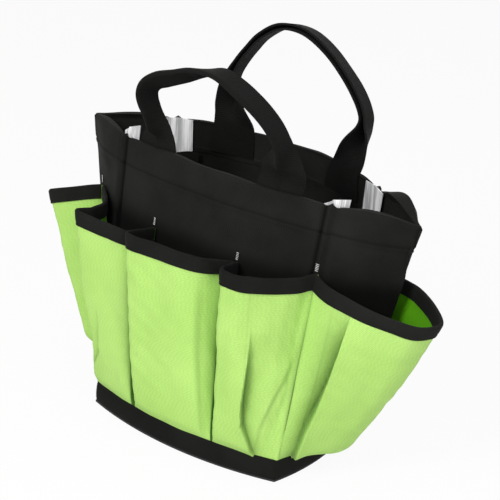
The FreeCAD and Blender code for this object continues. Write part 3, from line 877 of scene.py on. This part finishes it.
    binding = lay_cloth(
        f"{name}_mouth_binding", 150, 24, binding_place, swell=binding_swell, thick=0.0008
    )
    binding.data.materials.append(tape_black)
    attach(binding, "bag")
    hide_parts(f"{name}_binding")


# ---- Bar tacks ---------------------------------------------------------------------------
# The top of each pocket seam is held by a few turns of white thread.

thread_white, shader, _, place = new_material("thread_white")
fibres = place.noise(2500, 2)
feed(
    shader,
    Base_Color=fibres.mix(colour(0.5, 0.5, 0.47), colour(0.85, 0.85, 0.82)),
    Roughness=0.6 + 0.2 * fibres,
    Normal=fibres.relief(0.0001),
)
TACK_RISE = 0.002
TACK_STITCHES = 5
STITCH_PITCH = 0.0017
STITCH_WIDTH = 0.0024
STITCH_SLANT = 0.0006
THREAD = 0.0004
tack_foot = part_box("seam_tacks")[0].z + TACK_RISE
tack_parts = []
for order in range(len(POCKETS)):
    for stitch in range(TACK_STITCHES):
        low = tack_foot - SEAM_DROPS[order % 4] + stitch * STITCH_PITCH

        def stitch_place(u, v):
            """Round the thread and along one stitch, which narrows to both its ends."""
            around = u * 2 * math.pi
            run = seam_tops[order] + 0.0008 + (v - 0.5) * STITCH_WIDTH
            size = THREAD * np.sin(math.pi * np.clip(v, 0.03, 0.97)) ** 0.5
            height = low + STITCH_SLANT * (v - 0.5) + size * np.sin(around)
            return wall(run, height, 0.0026 + size * np.cos(around))

        tack = lay_cloth(f"tack_{order}_{stitch}", 8, 8, stitch_place, closed=True, thick=0)
        tack_parts.append(tack)
bpy.ops.object.select_all(action="DESELECT")
for part in tack_parts:
    part.select_set(True)
bpy.context.view_layer.objects.active = tack_parts[0]
bpy.ops.object.join()
tacks = bpy.context.object
tacks.name = "white_bar_tacks"
tacks.data.materials.append(thread_white)
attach(tacks, "bag")
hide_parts("seam_tacks")


# ---- Handles -----------------------------------------------------------------------------
# Each handle is one length of black webbing. Its ends are sewn flat against the inside of
# the hem, it is folded in half along the grip, and it opens out again just above the rim.

webbing_black, shader, cloth, place = new_material("webbing_black_rib")
over, along, _ = cloth.parts()
ribs = (along * (math.pi / 0.0021)).sine().size()
yarns = (over * (math.pi / 0.0016)).sine().size()
patches = place.noise(40, 3)
feed(
    shader,
    Base_Color=(0.7 * ribs + 0.6 * patches).soft_step(0.2, 1.1).mix(
        colour(0.0042, 0.0042, 0.004), colour(0.0098, 0.0098, 0.0091)
    ),
    Roughness=0.62 + 0.16 * patches,
    Normal=(ribs + 0.4 * yarns).relief(0.00022),
    Sheen_Weight=0.012,
    Sheen_Roughness=0.5,
    Specular_IOR_Level=0.05,
)

WEBBING = 0.050
WEBBING_THICK = 0.0022
TAIL_DEPTH = 0.0047
# Folded up, each half of the webbing stands this far from the middle of the two, and the fold
# this far off the line below. The rounding of the fold is in square metres.
FOLD_ROOM = 0.0014
FOLD_OFF = 0.0125
FOLD_ROUNDING = 0.0000012
SHUT = math.radians(87)
# Each handle's line up one leg and down the other, in its own leaning plane: way along
# the rim and height above the hinge in millimetres, twist in degrees, and how far the
# webbing is folded, from 0 flat to 1 shut.
FRONT_LINE = [
    (-74, -33, 0, 0), (-74, -16, 0, 0), (-74, 0, 0, 0.2), (-74, 14, 0, 0.55), (-74, 28, 0, 0.9),
    (-76, 42, 0, 1), (-79, 55, -10, 1), (-78, 67, -25, 1), (-70, 79, -42, 1), (-54, 89, -55, 1),
    (-32, 99, -49, 1), (-8, 110, -38, 1), (18, 115, -18, 1), (40, 106, -9, 1), (62, 91, -7, 1),
    (78, 74, -7, 1), (87, 57, -6, 1), (88, 43, -3, 0.85), (86, 30, 0, 0.4), (84, 17, 0, 0),
    (81, 4, 0, 0), (77, -16, 0, 0), (77, -33, 0, 0),
]
REAR_LINE = [
    (-77, -33, 0, 0), (-77, -16, 0, 0.1), (-77, 0, 0, 0.3), (-79, 14, 0, 0.45), (-83, 28, 0, 0.6),
    (-87, 42, 0, 0.8), (-86, 57, 0, 0.95), (-80, 72, 0, 1), (-71, 88, 0, 1), (-58, 106, 0, 1),
    (-35, 122, 0, 1), (-5, 124, 0, 1), (27, 111, 0, 1), (55, 91, 0, 1), (74, 73, 0, 1),
    (84, 58, 0, 1), (86, 47, 0, 0.95), (85, 33, 0, 0.75), (80, 16, 0, 0.58), (73, 0, 0, 0.5),
    (70, -16, 0, 0.3), (70, -33, 0, 0),
]
# name, which way it faces along Y, its outward lean in degrees, and its line
HANDLES = [
    ("front", -1, 19.0, FRONT_LINE),
    ("rear", 1, 9.0, REAR_LINE),
]
joints = {joint["child"]: joint for joint in frame["joints"]}
for name, facing, lean, points in HANDLES:
    joint = joints[f"{name}_handle_loop"]
    hinge = np.array(joint["pos_m"])
    along_rim = np.array(joint["axis"]) * -facing
    outward = np.array([0.0, facing, 0.0])
    lean = math.radians(lean)
    path = smooth_path([(0, *point) for point in points], 700)[:, 1:]
    path[:, :2] /= 1000
    steps = np.arange(len(path))
    front_start = 0.0 if facing < 0 else half_run

    def handle_place(u, v):
        """Across the webbing and along it, flat or folded in half with its fold outwards."""
        step = v * (len(path) - 1)
        way, height, twist, fold = (np.interp(step, steps, path[:, part]) for part in range(4))
        ahead_way, ahead_height = (np.interp(step + 2, steps, path[:, part]) for part in range(2))
        past_way, past_height = (np.interp(step - 2, steps, path[:, part]) for part in range(2))
        slope_way = ahead_way - past_way
        slope_height = ahead_height - past_height
        size = np.hypot(slope_way, slope_height)
        fold = np.clip(fold, 0, 1) * SHUT
        twist = np.radians(twist)
        across = (u - 0.5) * WEBBING
        spread = across * np.cos(fold) + FOLD_ROOM * np.tanh(across / 0.0016) * np.sin(fold)
        lift = (np.sqrt(across * across + FOLD_ROUNDING) - FOLD_OFF) * np.sin(fold)
        side = spread * np.cos(twist) - lift * np.sin(twist)
        out = -spread * np.sin(twist) - lift * np.cos(twist)
        way = way + slope_height / size * side
        height = height - slope_way / size * side
        leaning_out = out * math.cos(lean) + height * math.sin(lean)
        leaning_up = height * math.cos(lean) - out * math.sin(lean)
        loop = (
            hinge
            + along_rim * way[..., None]
            + outward * leaning_out[..., None]
            + np.array([0, 0, 1.0]) * leaning_up[..., None]
        )
        # The sewn ends follow the inside of the wall instead.
        across_rim = facing * (hinge[0] + way) * front_run / (2 * rim_half_length)
        run = front_start + front_run / 2 + across_rim
        tail = wall(run, hinge[2] + height, -TAIL_DEPTH)
        share = ease(height, 0.0, 0.03)[..., None]
        return tail * (1 - share) + loop * share

    def handle_swell(u, v):
        return waves(u * 0.05, v * 0.6, 7, 0.05, 0.1) * 0.0004

    handle = lay_cloth(
        f"{name}_webbing_handle", 40, 420, handle_place, swell=handle_swell, thick=WEBBING_THICK
    )
    handle.data.materials.append(webbing_black)
    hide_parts(f"{name}_handle", f"{name}_handle_left_end", f"{name}_handle_right_end")
    low = Vector((hinge[0], hinge[1], rim - 0.002))
    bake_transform(handle)


# ---- Floor, light and camera -------------------------------------------------------------
# A pale floor and sky show plain white to the camera, and light the bag more softly than
# they look. Three square lamps stand in front, at the right and above.


def shown_background(tree):
    """1 on rays from the camera, gloss or glass, which show the background, otherwise 0."""
    rays = tree.nodes.new("ShaderNodeLightPath").outputs
    seen = Shade(rays["Is Camera Ray"])
    through = seen + Shade(rays["Is Glossy Ray"]) + Shade(rays["Is Transmission Ray"])
    return seen.maths("MINIMUM", through, 1.0)


bpy.ops.object.select_all(action="DESELECT")
bpy.ops.mesh.primitive_plane_add(size=8, location=(0, 0, 0))
ground = bpy.context.object
ground.name = "studio_floor"
floor_white = bpy.data.materials.new("studio_floor_white")
floor_white.use_nodes = True
tree = floor_white.node_tree
tree.nodes.clear()
shown = shown_background(tree)
plain = shown.node("ShaderNodeBsdfDiffuse", None, {"Color": colour(0.86, 0.86, 0.86)})
glow = shown.node("ShaderNodeEmission", None, {"Color": colour(1, 1, 1), "Strength": 1.0})
mixed = shown.node("ShaderNodeMixShader", None, {0: shown * 0.93, 1: plain, 2: glow})
output = tree.nodes.new("ShaderNodeOutputMaterial")
tree.links.new(mixed.socket, output.inputs["Surface"])
ground.data.materials.append(floor_white)

world = bpy.data.worlds.new("studio_world")
bpy.context.scene.world = world
world.use_nodes = True
tree = world.node_tree
tree.nodes.clear()
shown = shown_background(tree)
sky = shown.node(
    "ShaderNodeBackground", None, {"Color": colour(1, 1, 1), "Strength": 0.27 + 0.73 * shown}
)
output = tree.nodes.new("ShaderNodeOutputWorld")
tree.links.new(sky.socket, output.inputs["Surface"])

bag_middle = Vector((0, 0, 0.18))
for name, spot, size, power in [
    ("key_light", (-0.1, -1.65, 1.4), 0.7, 26.5),
    ("fill_light", (1.5, -1.0, 0.9), 1.6, 12.5),
    ("top_light", (0.1, 0.3, 1.9), 1.5, 9),
]:
    light = bpy.data.lights.new(name, "AREA")
    light.shape = "SQUARE"
    light.size = size
    light.energy = power
    lamp = bpy.data.objects.new(name, light)
    lamp.location = spot
    aim = bag_middle - Vector(spot)
    lamp.rotation_euler = aim.to_track_quat("-Z", "Y").to_euler()
    bpy.context.scene.collection.objects.link(lamp)

CAMERA_AWAY = 1.682
target = Vector((0.01272, -0.0002, 0.20723))
turn, tilt, roll = (math.radians(angle) for angle in (32.09, 22.92, 6.59))
back = Vector((math.sin(turn) * math.cos(tilt), -math.cos(turn) * math.cos(tilt), math.sin(tilt)))
right = Vector((math.cos(turn), math.sin(turn), 0))
up = back.cross(right)
level_right = right * math.cos(roll) + up * math.sin(roll)
level_up = up * math.cos(roll) - right * math.sin(roll)
lens = bpy.data.cameras.new("studio_camera")
lens.lens = 114.34
lens.sensor_width = 36
camera = bpy.data.objects.new("studio_camera", lens)
bpy.context.scene.collection.objects.link(camera)
placed = camera.matrix_world.copy()
for axis, direction in enumerate((level_right, level_up, back, target + back * CAMERA_AWAY)):
    for part in range(3):
        placed[part][axis] = direction[part]
camera.matrix_world = placed
bpy.context.scene.camera = camera
bpy.context.scene.view_settings.view_transform = "Standard"
